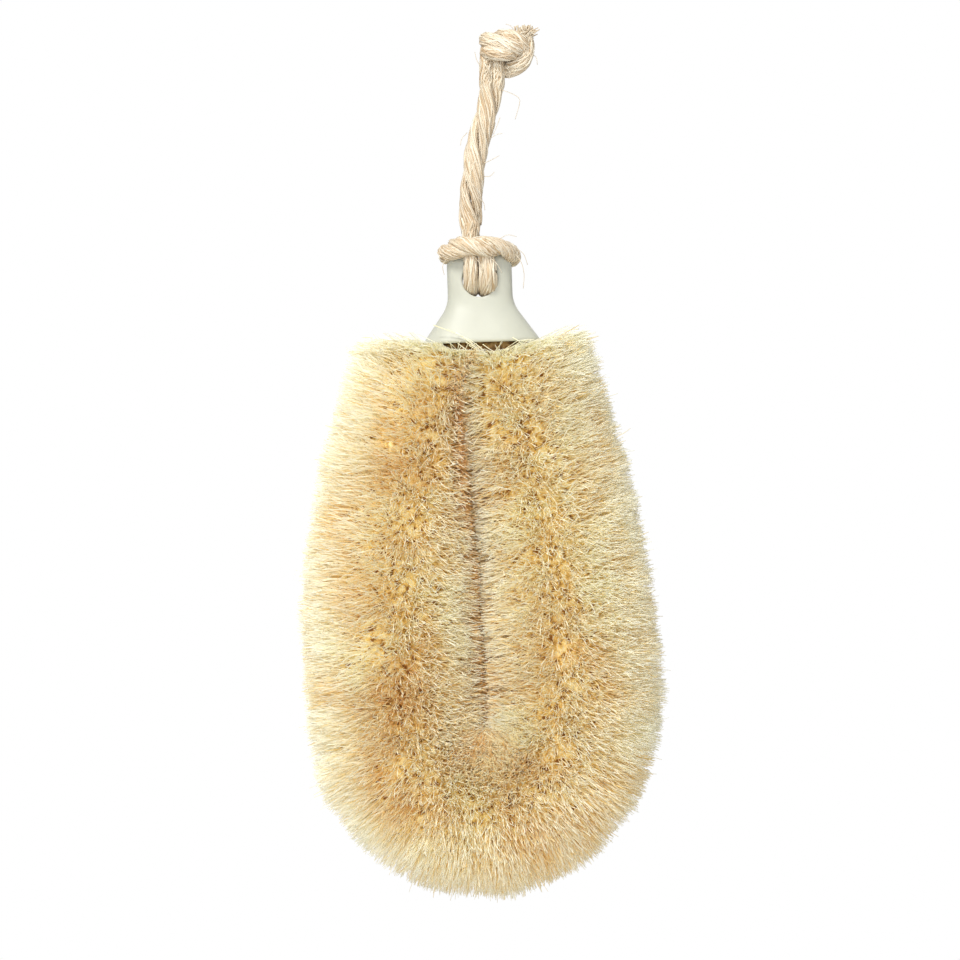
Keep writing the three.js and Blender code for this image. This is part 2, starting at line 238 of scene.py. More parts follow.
# Hairs and bristles that stand out, as x, y and z from the hanging point or, for bristles, the brush's origin
LEG_HAIRS = [
    [(2.2, -1, -1.6), (5, -1.4, -2.6), (7.2, -1.6, -4), (7.3, -1.6, -5), (6.1, -1.2, -9.5)],
    [(2.1, -1, -9), (1.4, -1.6, -11), (0.3, -1.5, -13.5)],
    [(-0.4, -1, -14.4), (1.2, -2, -13.6), (2.7, -2, -13.3)],
    [(-2.6, -0.5, -21.2), (-0.6, -1, -20.4), (1.9, -1.4, -19.1)],
    [(-2.4, -0.5, -24.6), (-0.4, -1, -24.4), (0.6, -1.4, -23.4)],
    [(-6.6, -1, -13), (-8, -1.4, -14.6), (-8.4, -1.2, -16.4)],
    [(-4.4, -2, -30), (-2.4, -2.4, -31.4), (-1.9, -2, -33.6)],
]
HITCH_HAIRS = [
    [(5.4, -3, -44.6), (7.4, -4, -47), (8.4, -4, -50.4), (8.2, -3.6, -54.4)],
    [(6.2, -1, -43.6), (8.2, -1.6, -45), (9.4, -1.8, -48)],
    [(1.6, -6.6, -41.8), (4, -7, -40.6), (6.4, -6.6, -41)],
    [(-11.6, -5, -46), (-13, -5.6, -48.6), (-12.6, -5.4, -51)],
    [(-5, -7.6, -46), (-3, -8.2, -48.6), (-2.4, -8, -51)],
    [(-1, -7.6, -46.4), (1, -8, -48), (2.6, -7.8, -50.6)],
]
KNOT_HAIRS = [
    [(-2.6, -1, 4), (-4, -1.4, 6), (-4.6, -1.2, 8.4)],
    [(10, -1, 8), (11.6, -1, 7), (12, -0.8, 5)],
    [(3.4, -2.4, 4.4), (4.8, -2.8, 2.6), (4.4, -2.6, 1)],
    [(6, -2, 13), (5, -2.2, 15), (3.6, -2, 15.6)],
]
STRAY_BRISTLES = [
    [(-12.7, -9.9, 4.4), (-7.4, -10.1, 2.4), (-2.9, -9.9, 0.4), (0.5, -9, -2.5)],
    [(-9, -9.9, 3.3), (-5.6, -10, 1.7), (-2.6, -9.8, -0.6), (0, -9, -3.4)],
    [(-6.8, -9.9, 2.5), (-4, -10, 0.8), (-1.5, -9.6, -1.2), (1, -9, -3.6)],
    [(-6.3, -9.6, -0.4), (-4.4, -9.6, -1.8), (-2.8, -9.4, -3.3)],
    [(-4.2, -9.8, -0.1), (-1.4, -9.8, -1.6), (1.6, -9.4, -3.5)],
    [(-3.4, -9.6, -0.9), (-1.2, -9.6, -2.2), (0.4, -9.4, -3.4)],
    [(-1.8, -9.8, -0.4), (0, -9.8, -1.8), (1.4, -9.4, -3.3)],
    [(0.2, -9.6, -0.6), (2.2, -9.6, -2), (4.2, -9.4, -3)],
    [(-20.3, -8, 1.6), (-17, -8.4, 1), (-13, -8.6, -0.6)],
    [(25.5, -6, 3.6), (20, -8.4, 2.6), (16, -9.8, 0.6), (12, -9.4, -1.4)],
    [(6.1, -9.6, -2), (10, -9.9, -0.6), (13.4, -9.9, 0.6)],
    [(8, -9.8, 1.2), (10.4, -9.9, -0.4), (11.4, -9.4, -2.4)],
]

# How finely the cap and the wires are drawn, and the colours of the two plastics
CAP_SIDES = 96
HOLE_SIDES = 64
CAP_VOXEL = 0.3
CAP_COLOUR = (186, 187, 174)
PLUG_COLOUR = (206, 202, 186)
WIRE_STEPS = 420

# Camera: the width of view at the object, in millimetres, and the point that it looks at
VIEW_WIDTH = 254.4
VIEW_CENTRE = (-3.2, -104.9)
LENS = 100
SENSOR = 36

# Studio, in metres and watts
FLOOR_DROP = 0.22
FLOOR_RADIUS = 0.95
FLOOR_SIDES = 96
FLOOR_COLOUR = (0.8, 0.8, 0.8, 1)
ROOM_GREY = 197
BOUNCES = 16
KEY_PLACE = (-0.4, -0.85, 0.95)
KEY_POWER = 15.2
KEY_SIZE = 0.35
FILL_PLACE = (-0.1, -1.3, 0.1)
FILL_POWER = 7.8
FILL_SIZE = 0.9

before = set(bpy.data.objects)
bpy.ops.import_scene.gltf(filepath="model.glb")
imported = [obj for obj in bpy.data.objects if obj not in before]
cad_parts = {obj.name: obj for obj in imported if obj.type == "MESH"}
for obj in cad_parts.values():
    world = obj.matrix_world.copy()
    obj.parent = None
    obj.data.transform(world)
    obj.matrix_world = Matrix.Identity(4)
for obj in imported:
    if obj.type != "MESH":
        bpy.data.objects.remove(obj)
cad_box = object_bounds()


def unit(vectors):
    return vectors / np.maximum(np.linalg.norm(vectors, axis=-1, keepdims=True), 1e-9)


# -------------------- routes


class Route:
    """A smooth line through points, which is read by length along it."""

    def __init__(self, points, steps=40):
        points = np.array(points, float)
        ends = 2 * points[[0, -1]] - points[[1, -2]]
        held = np.vstack([ends[0], points, ends[1]])
        line = [self.stretch(held[i:i + 4], steps) for i in range(len(points) - 1)]
        self.line = np.vstack(line + [points[-1:]])
        steps_long = np.linalg.norm(np.diff(self.line, axis=0), axis=1)
        self.along = np.concatenate([[0], np.cumsum(steps_long)])
        self.length = self.along[-1]

    @staticmethod
    def stretch(four, steps):
        """The centripetal Catmull-Rom stretch between the second and third of four points."""
        p0, p1, p2, p3 = four
        d0, d1, d2 = (np.sqrt(np.linalg.norm(b - a)) for a, b in ((p0, p1), (p1, p2), (p2, p3)))
        out1 = ((p1 - p0) / d0 - (p2 - p0) / (d0 + d1) + (p2 - p1) / d1) * d1
        out2 = ((p2 - p1) / d1 - (p3 - p1) / (d1 + d2) + (p3 - p2) / d2) * d1
        t = np.linspace(0, 1, steps, endpoint=False)[:, None]
        cubic = (2 * p1 - 2 * p2 + out1 + out2) * t**3
        return cubic + (3 * p2 - 3 * p1 - 2 * out1 - out2) * t**2 + out1 * t + p1

    def at(self, length):
        return np.stack([np.interp(length, self.along, c) for c in self.line.T], axis=-1)

    def direction(self, length):
        return unit(self.at(np.asarray(length) + 0.5) - self.at(np.asarray(length) - 0.5))

    def length_at_height(self, z, last=False):
        """Where the line first, or last, crosses a height."""
        below = np.nonzero(self.line[:, -1] < z)[0]
        return self.along[below[-1 if last else 0]]


core = Route(CORE_ROUTE)


def in_frame(points):
    """Brush-group points as frame points."""
    return points + np.array([CAP_X, 0, CAP_BASE_Z])


# -------------------- tubes


class Tubes:
    """Closed tubes that share one mesh. Each carries a tone, from 0, deep, to 1, pale, and knows how far
    along it a point is. The two are its UV, from which the fibre materials take their colour."""

    STRIP = 0.004

    def __init__(self):
        self.vertices, self.loops, self.sizes, self.uv, self.count = [], [], [], [], 0

    def add_rings(self, centres, across, up, tone, along, sides):
        """Oval tubes. centres and the two half axes, across and up, have the shape (tubes, rings, 3)."""
        tubes, rings = centres.shape[:2]
        angle = 2 * np.pi * np.arange(sides) / sides
        ring = (
            centres[:, :, None]
            + across[:, :, None] * np.cos(angle)[:, None]
            + up[:, :, None] * np.sin(angle)[:, None]
        )
        self.vertices.append(ring.reshape(-1, 3))
        index = self.count + np.arange(tubes * rings * sides).reshape(tubes, rings, sides)
        self.count += index.size
        nxt = np.roll(index, -1, axis=2)
        quads = np.stack([index[:, :-1], nxt[:, :-1], nxt[:, 1:], index[:, 1:]], axis=-1)
        far = np.broadcast_to(np.linspace(*along, rings), (tubes, rings))
        tone = np.broadcast_to(tone, (tubes,))
        spread = self.STRIP * (np.arange(sides) / sides - 0.5)
        u = np.clip(tone[:, None, None] + spread, 0.002, 0.998) + np.zeros((1, rings, 1))
        v = np.clip(far[:, :, None] + np.zeros((1, 1, sides)), 0.002, 0.998)
        u_next = u + self.STRIP / sides
        quad_u = np.stack([u[:, :-1], u_next[:, :-1], u_next[:, 1:], u[:, 1:]], axis=-1)
        quad_v = np.stack([v[:, :-1], v[:, :-1], v[:, 1:], v[:, 1:]], axis=-1)
        self.loops.append(quads.reshape(-1))
        self.uv.append(np.stack([quad_u.reshape(-1), quad_v.reshape(-1)], axis=-1))
        self.sizes.append(np.full(quads.size // 4, 4))
        for cap, near in ((index[:, 0, ::-1], 0), (index[:, -1], -1)):
            self.loops.append(cap.reshape(-1))
            cap_uv = np.stack([u[:, near], v[:, near]], axis=-1)
            self.uv.append(cap_uv.reshape(-1, 2))
            self.sizes.append(np.full(tubes, sides))
        return self

    def add_round(self, centres, radius, tone, sides=3, along=(0, 1)):
        """Round tubes. radius has the shape (tubes, rings)."""
        tangent = unit(np.gradient(centres, axis=1))
        whole = unit(centres[:, -1] - centres[:, 0])
        helper = np.where(np.abs(whole[:, 2:]) > 0.8, [[1.0, 0, 0]], [[0, 0, 1.0]])
        helper = np.broadcast_to(helper[:, None], tangent.shape)
        across = unit(np.cross(tangent, helper))
        up = np.cross(tangent, across)
        radius = np.broadcast_to(radius, centres.shape[:2])[..., None]
        return self.add_rings(centres, across * radius, up * radius, tone, along, sides)

    def build(self, name, material, body, slot, smooth=True):
        mesh = bpy.data.meshes.new(name)
        vertices = np.concatenate(self.vertices) * MM
        loops = np.concatenate(self.loops)
        sizes = np.concatenate(self.sizes)
        mesh.vertices.add(len(vertices))
        mesh.vertices.foreach_set("co", vertices.astype(np.float32).ravel())
        mesh.loops.add(len(loops))
        mesh.loops.foreach_set("vertex_index", loops.astype(np.int32))
        mesh.polygons.add(len(sizes))
        mesh.polygons.foreach_set("loop_start", np.concatenate([[0], np.cumsum(sizes)[:-1]]).astype(np.int32))
        mesh.update(calc_edges=True)
        layer = mesh.uv_layers.new(name=BAKE_UV)
        layer.uv.foreach_set("vector", np.concatenate(self.uv).astype(np.float32).ravel())
        mesh.polygons.foreach_set("use_smooth", np.full(len(sizes), smooth))
        mesh.validate()
        mesh.materials.append(material)
        piece = bpy.data.objects.new(name, mesh)
        bpy.context.scene.collection.objects.link(piece)
        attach(piece, body)
        return piece


# -------------------- materials


def new_material(name):
    material = bpy.data.materials.new(name)
    material.use_nodes = True
    nodes = material.node_tree.nodes
    return material, nodes, material.node_tree.links, nodes["Principled BSDF"]


def srgb(red, green, blue):
    """A colour on the 0 to 255 scale, as linear light with alpha."""
    scaled = [c / 255 for c in (red, green, blue)]
    return [c / 12.92 if c <= 0.04045 else ((c + 0.055) / 1.055) ** 2.4 for c in scaled] + [1]


def colour_ramp(nodes, links, factor, stops):
    node = nodes.new("ShaderNodeValToRGB")
    elements = node.color_ramp.elements
    while len(elements) < len(stops):
        elements.new(0.5)
    for element, (place, colour) in zip(elements, stops):
        element.position = place
        element.color = srgb(*colour)
    links.new(factor, node.inputs["Fac"])
    return node.outputs["Color"]


def mix_colour(nodes, links, factor, first, second, blend="MIX"):
    node = nodes.new("ShaderNodeMix")
    node.data_type = "RGBA"
    node.blend_type = blend
    if isinstance(factor, float):
        node.inputs["Factor"].default_value = factor
    else:
        links.new(factor, node.inputs["Factor"])
    links.new(first, node.inputs["A"])
    links.new(second, node.inputs["B"])
    return node.outputs["Result"]


def mottle(nodes, links, scale, detail, stops):
    """A colour that varies over the surface, between the stops."""
    place = nodes.new("ShaderNodeTexCoord")
    noise = nodes.new("ShaderNodeTexNoise")
    noise.inputs["Scale"].default_value = scale
    noise.inputs["Detail"].default_value = detail
    links.new(place.outputs["Object"], noise.inputs["Vector"])
    return colour_ramp(nodes, links, noise.outputs["Fac"], stops)


def fibre_material(name, deep, pale, roughness, flecks):
    """Plant fibre. deep and pale are the colours along a dark and a light fibre, from its root to its tip."""
    material, nodes, links, shader = new_material(name)
    place = nodes.new("ShaderNodeUVMap")
    place.uv_map = BAKE_UV
    split = nodes.new("ShaderNodeSeparateXYZ")
    links.new(place.outputs["UV"], split.inputs["Vector"])
    deep_colour = colour_ramp(nodes, links, split.outputs["Y"], deep)
    pale_colour = colour_ramp(nodes, links, split.outputs["Y"], pale)
    colour = mix_colour(nodes, links, split.outputs["X"], deep_colour, pale_colour)
    stretch = nodes.new("ShaderNodeMapping")
    stretch.inputs["Scale"].default_value = (90, 7, 1)
    links.new(place.outputs["UV"], stretch.inputs["Vector"])
    noise = nodes.new("ShaderNodeTexNoise")
    noise.inputs["Scale"].default_value = 1.0
    noise.inputs["Detail"].default_value = 2.0
    links.new(stretch.outputs["Vector"], noise.inputs["Vector"])
    shade = colour_ramp(nodes, links, noise.outputs["Fac"], flecks)
    colour = mix_colour(nodes, links, 1.0, colour, shade, "MULTIPLY")
    links.new(colour, shader.inputs["Base Color"])
    shader.inputs["Roughness"].default_value = roughness
    shader.inputs["Specular IOR Level"].default_value = 0.35
    return material


palm_fibre = fibre_material(
    "palm_fibre",
    deep=[
        (0, (221, 163, 71)), (0.4, (233, 189, 100)), (0.7, (239, 208, 133)),
        (0.88, (232, 210, 151)), (1, (217, 201, 154)),
    ],
    pale=[
        (0, (254, 250, 211)), (0.4, (254, 253, 230)), (0.7, (254, 254, 237)),
        (0.88, (243, 242, 227)), (1, (229, 229, 211)),
    ],
    roughness=0.6,
    flecks=[(0.3, (252, 251, 250)), (0.7, (255, 255, 255))],
)
cord_fibre = fibre_material(
    "cord_fibre",
    deep=[(0, (184, 156, 118)), (0.5, (194, 167, 130)), (1, (188, 160, 122))],
    pale=[(0, (233, 226, 207)), (0.5, (239, 234, 219)), (1, (235, 228, 210))],
    roughness=0.65,
    flecks=[(0.25, (220, 208, 188)), (0.6, (255, 255, 255))],
)

# -------------------- camera, lights and floor


def camera():
    """A level view from the front."""
    data = bpy.data.cameras.new("camera")
    data.lens = LENS
    data.sensor_width = SENSOR
    item = bpy.data.objects.new("camera", data)
    distance = VIEW_WIDTH * LENS / SENSOR
    item.location = (VIEW_CENTRE[0] * MM, -distance * MM, VIEW_CENTRE[1] * MM)
    item.rotation_euler = (math.pi / 2, 0, 0)
    bpy.context.scene.collection.objects.link(item)
    bpy.context.scene.camera = item


def area_light(name, place, target, size, power, colour):
    data = bpy.data.lights.new(name, "AREA")
    data.shape = "DISK"
    data.size = size
    data.energy = power
    data.color = colour
    item = bpy.data.objects.new(name, data)
    item.location = place
    item.rotation_euler = (Vector(target) - Vector(place)).to_track_quat("-Z", "Y").to_euler()
    bpy.context.scene.collection.objects.link(item)


def studio():
    """A white backdrop behind the object, softer light from all round, and two soft lamps in front."""
    scene = bpy.context.scene
    scene.view_settings.view_transform = "Standard"
    scene.cycles.max_bounces = BOUNCES
    scene.cycles.diffuse_bounces = BOUNCES
    world = bpy.data.worlds.new("studio")
    world.use_nodes = True
    nodes, links = world.node_tree.nodes, world.node_tree.links
    direction = nodes.new("ShaderNodeTexCoord")
    split = nodes.new("ShaderNodeSeparateXYZ")
    links.new(direction.outputs["Generated"], split.inputs["Vector"])
    room = (ROOM_GREY, ROOM_GREY, ROOM_GREY)
    white = (255, 255, 255)
    shade = colour_ramp(nodes, links, split.outputs["Y"], [(0.45, room), (0.85, white)])
    links.new(shade, nodes["Background"].inputs["Color"])
    scene.world = world
    middle = (0, 0, VIEW_CENTRE[1] * MM)
    area_light("key", KEY_PLACE, middle, KEY_SIZE, KEY_POWER, (1, 0.99, 0.97))
    area_light("fill", FILL_PLACE, middle, FILL_SIZE, FILL_POWER, (1, 1, 1))


def floor():
    """A pale disc under the object, small enough to stay below the camera's view."""
    z = cad_box[0].z - FLOOR_DROP
    angles = [2 * math.pi * i / FLOOR_SIDES for i in range(FLOOR_SIDES)]
    rim = [(FLOOR_RADIUS * math.cos(a), FLOOR_RADIUS * math.sin(a), z) for a in angles]
    mesh = bpy.data.meshes.new("floor")
    mesh.from_pydata(rim, [], [range(FLOOR_SIDES)])
    material, _, _, shader = new_material("floor")
    shader.inputs["Base Color"].default_value = FLOOR_COLOUR
    shader.inputs["Roughness"].default_value = 0.9
    mesh.materials.append(material)
    item = bpy.data.objects.new("floor", mesh)
    bpy.context.scene.collection.objects.link(item)


# -------------------- cord


def smooth_line(points, steps):
    """A smooth line of evenly spaced points through a few."""
    route = Route(points)
    return route.at(np.linspace(0, route.length, steps))


def across_line(line, side):
    """Unit directions along the line, to its side and square to both. side is one, or one for each point."""
    tangent = unit(np.gradient(line, axis=0))
    side = np.broadcast_to(np.asarray(side, float), line.shape)
    side = unit(side - tangent * np.sum(side * tangent, axis=1, keepdims=True))
    return tangent, side, np.cross(tangent, side)


def round_ends(line, reach_before, reach_after):
    """The line carried on past its ends, and how full it is there, which makes each end a half circle."""
    steps = np.sin(np.linspace(0, math.pi / 2, END_STEPS + 1))[1:]
    first, last = unit(line[0] - line[1]), unit(line[-1] - line[-2])
    before = line[0] + steps[::-1, None] * reach_before * first
    after = line[-1] + steps[:, None] * reach_after * last
    full = np.sqrt(np.maximum(1 - steps**2, 0.003))
    return np.vstack([before, line, after]), np.concatenate([full[::-1], np.ones(len(line)), full])


def add_yarn(tubes, line, side, half_width, half_thickness, rng, turn=1.5, hairs=HAIRS, fullness=None):
    """A loose strand of plant fibre: an oval body, deep in tone as painted shade between the fibres, with
    single fibres laid round it at a slant.
    """
    count = len(line)
    full = np.ones(count) if fullness is None else fullness
    place = np.linspace(0, 1, count)
    width = np.interp(place, np.linspace(0, 1, np.size(half_width)), np.atleast_1d(half_width)) * full
    thick = np.interp(place, np.linspace(0, 1, np.size(half_thickness)), np.atleast_1d(half_thickness)) * full
    side, square = across_line(line, side)[1:]
    lump = 1 + 0.03 * np.sin(place * 23 + rng.uniform(0, 6))
    body = lambda share, axis: (axis * (share * lump)[:, None])[None]
    oval = body(BODY_SHARE * width, side), body(BODY_SHARE * thick, square)
    tubes.add_rings(line[None], *oval, BODY_SHADE_TONE, (0.1, 0.9), BODY_SIDES)
    start = np.where(rng.random(hairs) < 0.5, 0, rng.uniform(0, 0.4, hairs))
    end = np.where(rng.random(hairs) < 0.5, 1, rng.uniform(0.6, 1, hairs))
    along = start[:, None] + (end - start)[:, None] * np.linspace(0, 1, HAIR_STEPS)
    waves = np.array([np.sin(k * np.linspace(0, 6, HAIR_STEPS)) for k in (1, 1.7, 2.6)])
    wander = rng.normal(0, HAIR_WANDER, (hairs, 3)) @ waves
    angle = 2 * np.pi * np.arange(hairs)[:, None] / hairs + rng.normal(0, 0.1, (hairs, 1))
    angle = angle + turn * along + wander
    depth = rng.uniform(0.82, 1, (hairs, 1)) + 0.03 * np.sin(along * 17 + rng.uniform(0, 6, (hairs, 1)))
    read = lambda values: np.stack([np.interp(along, place, c) for c in values.T], axis=-1)
    centres = (
        read(line)
        + read(side * width[:, None]) * (depth * np.cos(angle))[..., None]
        + read(square * thick[:, None]) * (depth * np.sin(angle))[..., None]
    )
    radius = rng.uniform(*HAIR_RADII, (hairs, 1)) * np.interp(along, [0, 0.02, 0.98, 1], [0.5, 1, 1, 0.5])
    tone = np.clip(rng.normal(*HAIR_TONE, hairs), 0.02, 0.98)
    tubes.add_round(centres, radius, tone, HAIR_SIDES)


def leg_line(phase):
    """The middle of one of the two legs, which wind round each other, and the way out from the other."""
    route = Route([(x, 0, z) for x, z in CORD_ROUTE])
    t = np.linspace(0, 1, LEG_STEPS)
    angle = phase - CORD_TWIST * (1 - t)
    out = np.stack([np.cos(angle), np.sin(angle), 0 * t], axis=1)
    return route.at(t * route.length) + 0.5 * CORD_SPACING * out, out


def cord_leg(name, node, phase, seed):
    """One leg of the doubled cord. Its ends are round about the two hinges, and stay joined as it swings."""
    line, out = leg_line(phase)
    around = np.cross(out, [0, 0, 1])
    full_line, full = round_ends(line, LEG_HALF_WIDTH, LEG_HALF_WIDTH)
    ends = [np.repeat(around[:1], END_STEPS, 0), around, np.repeat(around[-1:], END_STEPS, 0)]
    tubes = Tubes()
    rng = np.random.default_rng(seed)
    add_yarn(tubes, full_line, np.vstack(ends), LEG_HALF_WIDTH, LEG_HALF_THICKNESS, rng, 2.6, 64, full)
    leg = tubes.build(name, cord_fibre, "cord_legs", "cord")
    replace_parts(leg, node)


def stub_line(points, steps=26):
    """A strand that starts at a hinge, with its round end past it."""
    line, full = round_ends(smooth_line(points, steps), LEG_HALF_WIDTH, 0.5)
    return line, full


def end_knot():
    """The overhand knot at the end of the doubled cord: stems, the turns round them, side loop and fray."""
    rng = np.random.default_rng(31)
    stem = Tubes()
    for x in (-0.5 * CORD_SPACING, 0.5 * CORD_SPACING):
        line, full = stub_line([(x, 0, 0), (x * 1.05, 0, 3), (x, 0.2, 6), (x * 0.9, 0.4, 9.5)])
        add_yarn(stem, line, (0, 1, 0), LEG_HALF_WIDTH, STEM_HALF_THICKNESS, rng, 1.2, 52, full)
    stem = stem.build("knot_stem", cord_fibre, "hang_knot", "cord")
    turns = Tubes()
    for points in KNOT_TURNS:
        half_sizes = KNOT_TURN_HALF_WIDTHS, KNOT_TURN_HALF_THICKNESS
        add_yarn(turns, smooth_line(points, 44), (0, 0, 1), *half_sizes, rng, 3.2, 56)
    turns = turns.build("knot_turns", cord_fibre, "hang_knot", "cord")
    loop = Tubes()
    half_sizes = KNOT_LOOP_HALF_WIDTHS, KNOT_LOOP_HALF_THICKNESS
    add_yarn(loop, smooth_line(KNOT_LOOP, 44), (0, 1, 0), *half_sizes, rng, 2.6, 60)
    loop = loop.build("knot_loop", cord_fibre, "hang_knot", "cord")
    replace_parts(turns, "cord_end_knot")
    return [stem, turns, loop, frayed_end(rng)]


def frayed_end(rng):
    """The cut ends of the cord, whose fibres open out and curl."""
    count = FRAY_HAIRS
    root = np.array(FRAY_ROOT) + rng.normal(0, 0.75, (count, 3))
    tip = np.array(FRAY_TIP) + rng.normal(0, 1, (count, 3)) * np.array(FRAY_SPREAD)
    tip[:, 2] = np.minimum(tip[:, 2], FRAY_TOP + rng.normal(0, 0.2, count))
    steps = np.linspace(0, 1, 7)[None, :, None]
    bulge = rng.normal(0, 0.7, (count, 1, 3))
    curl = rng.normal(0, 0.5, (count, 1, 3)) * steps**3
    centres = root[:, None] + (tip - root)[:, None] * steps + bulge * steps * (1 - steps) * 2 + curl
    radius = rng.uniform(*FRAY_RADII, (count, 1)) * np.ones((1, 7))
    tone = np.clip(rng.normal(0.65, 0.2, count), 0.02, 0.98)
    tubes = Tubes().add_round(centres, radius, tone, HAIR_SIDES)
    fray = tubes.build("knot_fray", cord_fibre, "hang_knot", "cord")
    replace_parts(fray, "cord_tail_front", "cord_tail_back")
    return fray


def ply_pair(tubes, line, side, half_width, half_thickness, rng, turns, phase, **options):
    """Two plies that wind round each other along a line."""
    place = np.linspace(0, 1, len(line))
    wide = np.interp(place, np.linspace(0, 1, np.size(half_width)), np.atleast_1d(half_width))
    tangent, side, square = across_line(line, side)
    for k in range(2):
        angle = phase + math.pi * k + 2 * math.pi * turns * place
        offset = side * (0.44 * wide * np.cos(angle))[:, None]
        offset = offset + square * (0.4 * half_thickness * np.sin(angle))[:, None]
        radial = unit(side * np.cos(angle)[:, None] + square * np.sin(angle)[:, None])
        around = np.cross(tangent, radial)
        add_yarn(tubes, line + offset, around, 0.72 * wide, 0.6 * wide, rng, **options)


def hitch():
    """The cord round the neck of the cap: the turn, and the two strands from the legs through the hole."""
    rng = np.random.default_rng(57)
    turn = Tubes()
    line = smooth_line(HITCH_TURN, 110)
    half_sizes = HITCH_TURN_HALF_WIDTHS, HITCH_TURN_HALF_THICKNESS
    ply_pair(turn, line, (0, 0, 1), *half_sizes, rng, 3.1, 0.4, turn=4, hairs=60)
    turn = turn.build("hitch_turn", cord_fibre, "brush", "cord")
    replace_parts(turn, "cord_hitch_band")
    strands = Tubes()
    for points, widths in HITCH_STRANDS:
        line, full = stub_line(points, 60)
        add_yarn(strands, line, (1, 0, 0), widths, HITCH_STRAND_HALF_THICKNESS, rng, 2.4, 64, full)
    strands = strands.build("hitch_strands", cord_fibre, "brush", "cord")
    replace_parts(strands, "cord_hitch_throat")


def loose_hairs(name, body, lines, radius=LOOSE_HAIR_RADIUS, material=cord_fibre, slot="cord", tone=0.6):
    """Single fibres that stand out, one along each line."""
    tubes = Tubes()
    for number, points in enumerate(lines):
        line = smooth_line(points, LOOSE_HAIR_STEPS)[None]
        taper = np.linspace(radius, 0.7 * radius, LOOSE_HAIR_STEPS)[None]
        tubes.add_round(line, taper, tone + 0.06 * (number % 3), HAIR_SIDES)
    return tubes.build(name, material, body, slot)


# -------------------- cap, plug and wires


def half_depth(r, slope):
    """The cap's half depth where its half width is r. It grows more slowly than the width below the neck."""
    outside = NECK_HALF_DEPTH + (r - NECK_HALF_WIDTH) * slope
    return np.where(r < NECK_HALF_WIDTH, NECK_HALF_DEPTH * r / NECK_HALF_WIDTH, outside)


def curve_points(start, bend, end, steps):
    """A curve that leaves one point towards the bend and comes to the other from it."""
    t = np.linspace(0, 1, steps)[:, None]
    return (1 - t) ** 2 * np.array(start) + 2 * t * (1 - t) * np.array(bend) + t**2 * np.array(end)


def cap_profile():
    """Half width and height of the cap, from inside the mouth, round the rim and up to the top."""
    flare = (FLARE_TOP_HALF_WIDTH, FLARE_TOP_Z)
    neck = (NECK_HALF_WIDTH, NECK_START_Z)
    shoulder = (NECK_HALF_WIDTH, CAP_HEIGHT - NECK_CORNER)
    crown = (NECK_HALF_WIDTH - NECK_CORNER, CAP_HEIGHT)
    ceiling, base = MOUTH_TOP_HALF_WIDTH, BASE_HALF_WIDTH
    parts = [
        [(0.01, MOUTH_DEPTH), (ceiling - 1.5, MOUTH_DEPTH), (ceiling, MOUTH_DEPTH - 1)],
        [(MOUTH_HALF_WIDTH, 0), (base - 0.2, 0), (base, 0.2), (base, LIP_HEIGHT)],
        curve_points(flare, (NECK_HALF_WIDTH, (FLARE_TOP_Z + NECK_START_Z) / 2), neck, 12),
        curve_points(shoulder, (NECK_HALF_WIDTH, CAP_HEIGHT), crown, 14),
        [(0.01, CAP_HEIGHT)],
    ]
    return np.vstack([np.array(p, float) for p in parts])


def cap_shell():
    """The moulded cap, with its hole bored and its edges softened."""
    slope = (BASE_HALF_DEPTH - NECK_HALF_DEPTH) / (BASE_HALF_WIDTH - NECK_HALF_WIDTH)
    profile = cap_profile()
    angle = 2 * np.pi * np.arange(CAP_SIDES) / CAP_SIDES
    across = np.sign(np.cos(angle)) * np.abs(np.cos(angle)) ** (2 / SQUARENESS)
    through = np.sign(np.sin(angle)) * np.abs(np.sin(angle)) ** (2 / SQUARENESS)
    r, z = profile[:, :1], profile[:, 1:]
    shape = [r * across, half_depth(r, slope) * through, z + 0 * across]
    shell = ring_mesh("cap_shell", np.stack(shape, axis=-1))
    bore_angle = 2 * np.pi * np.arange(HOLE_SIDES) / HOLE_SIDES
    reach = 2 * NECK_HALF_DEPTH
    rings = []
    for radius, y in ((0.01, -reach), (HOLE_RADIUS, -reach), (HOLE_RADIUS, reach), (0.01, reach)):
        x, z = HOLE_X + radius * np.cos(bore_angle), HOLE_Z - radius * np.sin(bore_angle)
        rings.append(np.stack([x, 0 * x + y, z], axis=-1))
    bore = ring_mesh("cap_bore", np.array(rings))
    cut = shell.modifiers.new("hole", "BOOLEAN")
    cut.object = bore
    cut.operation = "DIFFERENCE"
    cut.solver = "EXACT"
    remesh = shell.modifiers.new("skin", "REMESH")
    remesh.mode = "VOXEL"
    remesh.voxel_size = CAP_VOXEL * MM
    soften = shell.modifiers.new("soften", "SMOOTH")
    soften.factor = 0.5
    soften.iterations = 8
    finished = bpy.data.meshes.new_from_object(shell.evaluated_get(bpy.context.evaluated_depsgraph_get()))
    shell.modifiers.clear()
    shell.data = finished
    bpy.data.objects.remove(bore)
    tilt = np.array([[math.cos(CAP_TILT), -math.sin(CAP_TILT)], [math.sin(CAP_TILT), math.cos(CAP_TILT)]])
    points = np.zeros(len(finished.vertices) * 3)
    finished.vertices.foreach_get("co", points)
    points = points.reshape(-1, 3)
    points[:, [0, 2]] = points[:, [0, 2]] @ tilt.T + np.array([CAP_X, CAP_BASE_Z]) * MM
    finished.vertices.foreach_set("co", points.ravel())
    finished.polygons.foreach_set("use_smooth", np.ones(len(finished.polygons), bool))
    finished.materials.clear()
    finished.materials.append(plastic("cap_plastic", CAP_COLOUR, 0.46))
    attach(shell, "brush")
    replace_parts(shell, "end_cap")


